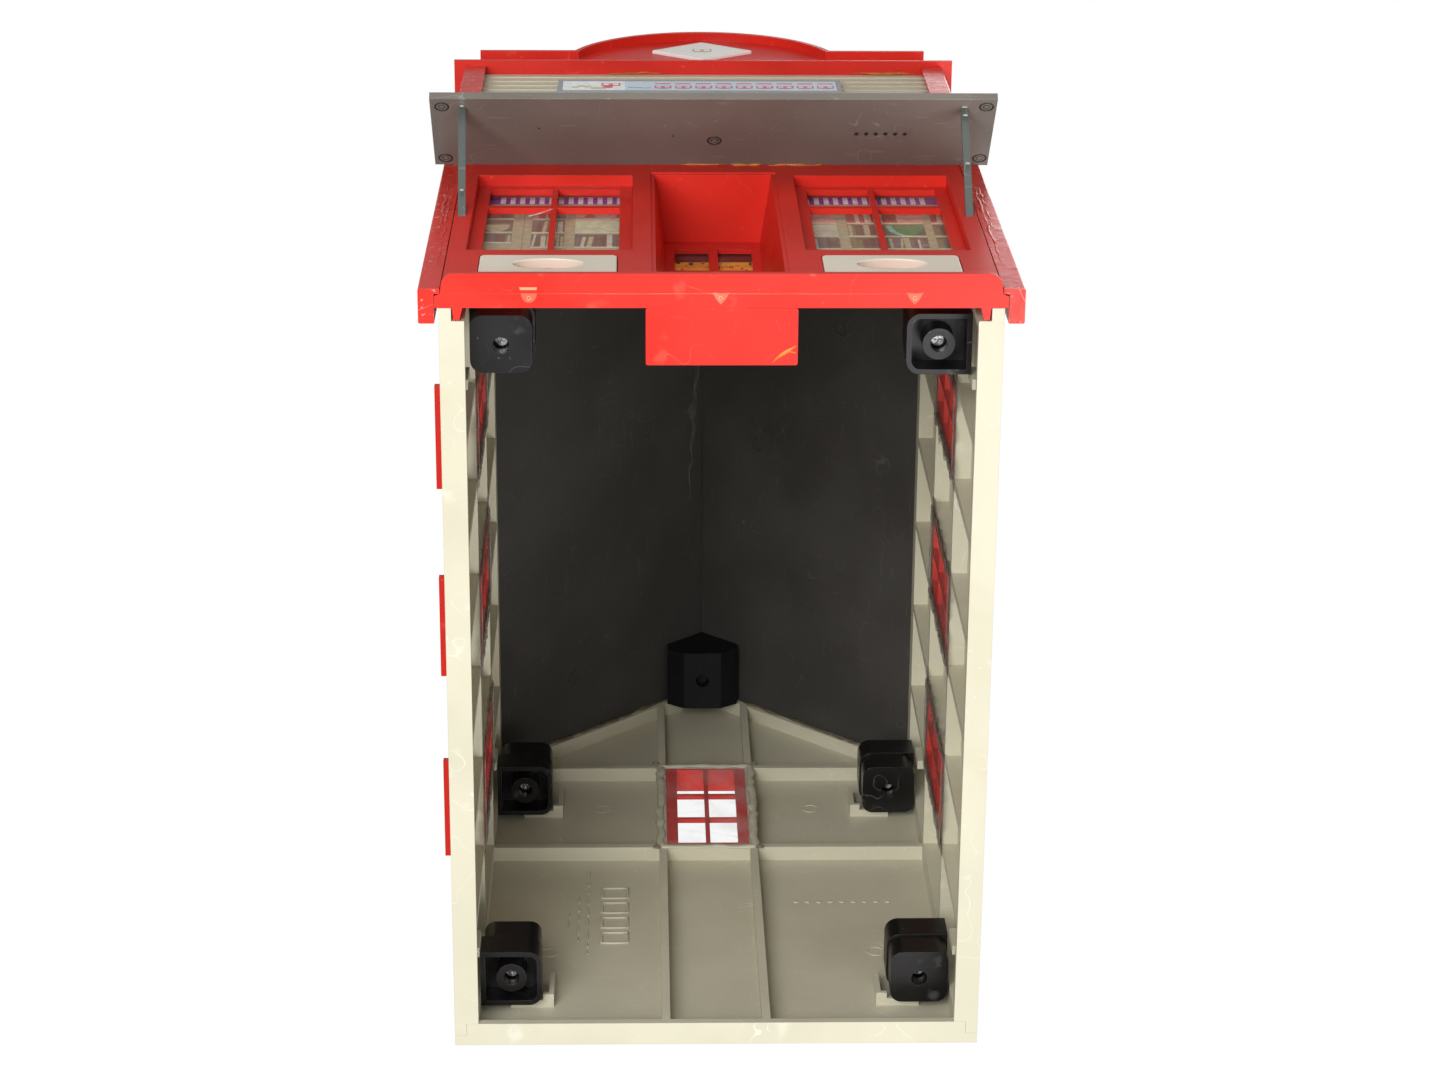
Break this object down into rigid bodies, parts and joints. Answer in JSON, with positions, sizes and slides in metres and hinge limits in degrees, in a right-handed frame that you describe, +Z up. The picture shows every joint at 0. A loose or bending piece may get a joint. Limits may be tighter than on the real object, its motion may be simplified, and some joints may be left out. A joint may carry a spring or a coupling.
{
  "type": "model shop building",
  "caption": "Plastic model of a false-front shop with an open underside: ribbed walls, gabled roof, shop windows, recessed entry, strutted canopy and screwed corner clamps.",
  "frame": {"origin": "middle of the overall footprint, on the ground plane that the bottom rim stands on", "axes": "+Z up from the bottom rim to the arched pediment, -Y towards the shop front, +X to the right as seen from the street"},
  "size_m": [0.235, 0.364, 0.444],
  "materials": {
    "beige_plastic": "satin injection-moulded, slightly yellowed",
    "red_plastic": "semi-gloss, scuffed",
    "roof_plastic": "satin dark grey",
    "canopy_plastic": "satin grey",
    "black_plastic": "semi-gloss black",
    "cream_plastic": "satin cream",
    "clear_plastic": "clear sheet",
    "printed_card": "printed card",
    "sign_grey_plastic": "satin",
    "white_plastic": "satin white",
    "steel": "zinc-plated screws"
  },
  "bodies": {
    "root": {"back_left_clamp_covers": "black_plastic", "back_left_clamp_cups": "black_plastic", "back_right_clamp_covers": "black_plastic", "back_right_clamp_cups": "black_plastic", "back_wall": "beige_plastic", "back_window_frame": "red_plastic", "back_window_glazing": "clear_plastic", "canopy": "canopy_plastic", "clamp_screws": "steel", "cornice": "red_plastic", "door_glazing": "clear_plastic", "door_print_card": "printed_card", "entry_door": "red_plastic", "entry_floor_plate": "red_plastic", "entry_vestibule": "red_plastic", "front_left_clamp_covers": "black_plastic", "front_left_clamp_cups": "black_plastic", "front_right_clamp_covers": "black_plastic", "front_right_clamp_cups": "black_plastic", "left_canopy_strut": "canopy_plastic", "left_corner_trim": "red_plastic", "left_display_card": "printed_card", "left_kick_panel": "cream_plastic", "left_roof_panel": "roof_plastic", "left_shop_glazing": "clear_plastic", "left_shop_window_sash": "red_plastic", "left_side_wall": "beige_plastic", "left_upper_window_frame": "red_plastic", "left_window_frame_1": "red_plastic", "left_window_frame_2": "red_plastic", "left_window_frame_3": "red_plastic", "left_window_glazing": "clear_plastic", "pediment": "red_plastic", "pediment_diamond": "white_plastic", "plinth_bar": "red_plastic", "ridge_block": "black_plastic", "ridge_cap": "roof_plastic", "right_canopy_strut": "canopy_plastic", "right_corner_trim": "red_plastic", "right_display_card": "printed_card", "right_kick_panel": "cream_plastic", "right_roof_panel": "roof_plastic", "right_shop_glazing": "clear_plastic", "right_shop_window_sash": "red_plastic", "right_side_wall": "beige_plastic", "right_upper_window_frame": "red_plastic", "right_window_frame_1": "red_plastic", "right_window_frame_2": "red_plastic", "right_window_frame_3": "red_plastic", "right_window_glazing": "clear_plastic", "shopfront_frame": "red_plastic", "sign_board": "sign_grey_plastic", "sign_face": "printed_card", "upper_front_wall": "beige_plastic", "upper_window_glazing": "clear_plastic"}
  },
  "joints": []
}
